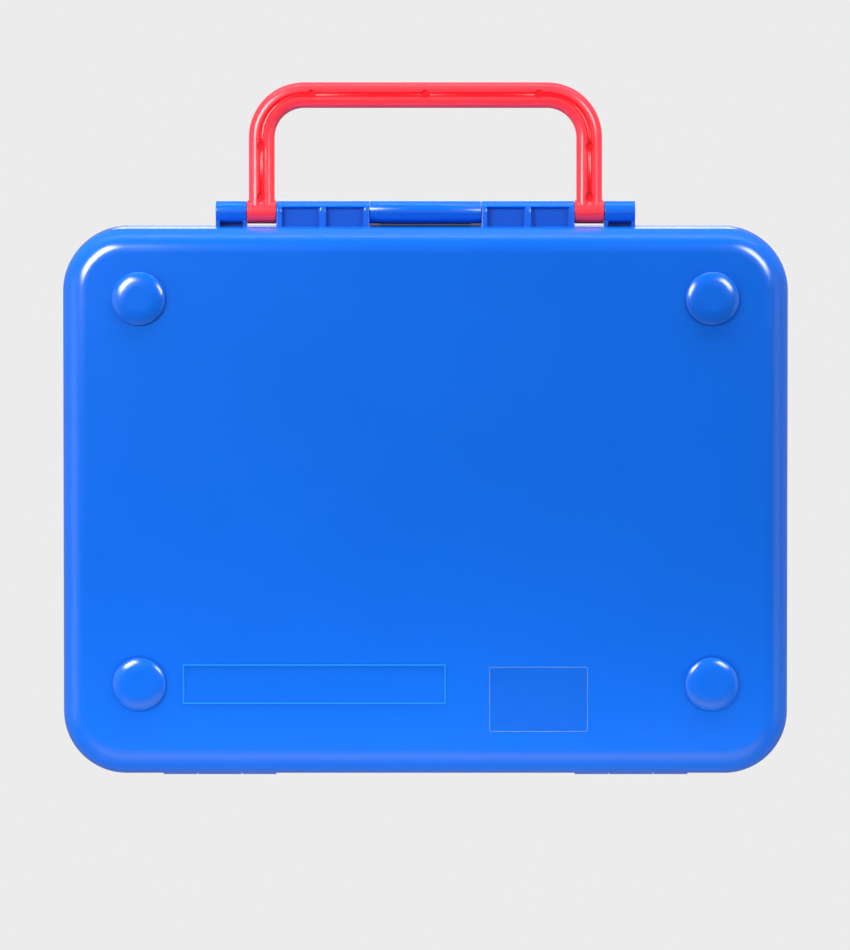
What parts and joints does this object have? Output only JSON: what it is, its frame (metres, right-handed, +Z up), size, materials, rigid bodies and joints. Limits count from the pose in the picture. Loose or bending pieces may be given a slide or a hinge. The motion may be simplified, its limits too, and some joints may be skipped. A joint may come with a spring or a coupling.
{
  "type": "art supply box",
  "caption": "Moulded blue clamshell carry case for art supplies, with a red swinging handle, a snap latch, a hinged lid and compartment trays.",
  "frame": {"origin": "bottom centre of the overall box around the closed case with its handle straight out: on the plane of the feet, mid-width, halfway between the handle's outer edge and the hinge knuckles", "axes": "+Z up with the case lying on its feet, -Y to the handle and latch at the front, +X to the right seen from the front; the picture looks up at the underside with -Y at the top of the picture"},
  "size_m": [0.299, 0.2852, 0.058],
  "materials": {
    "blue_case": "satin-gloss moulded ABS",
    "red_handle": "satin-gloss moulded ABS",
    "steel": "drawn steel rod",
    "white_tray": "fine matte moulded plastic",
    "clear_film": "clear self-adhesive film"
  },
  "bodies": {
    "base": {"base_shell": "blue_case", "pivot_rod": "steel", "hinge_pin_left": "steel", "hinge_pin_right": "steel", "supply_tray": "white_tray", "clear_label": "clear_film"},
    "lid": {"lid_shell": "blue_case", "lid_tray": "white_tray"},
    "handle": {"handle": "red_handle"},
    "latch": {"latch": "blue_case"}
  },
  "joints": [
    {"name": "lid_hinge", "type": "hinge", "parent": "base", "child": "lid", "pos_m": [0, 0.14067, 0.0303], "axis": [-1, 0, 0], "range_deg": [0, 180]},
    {"name": "handle_swing", "type": "hinge", "parent": "base", "child": "handle", "pos_m": [0, -0.08947, 0.0228], "axis": [-1, 0, 0], "range_deg": [-90, 90]},
    {"name": "latch_flip", "type": "hinge", "parent": "base", "child": "latch", "pos_m": [0, -0.08947, 0.0228], "axis": [1, 0, 0], "range_deg": [0, 120]}
  ]
}
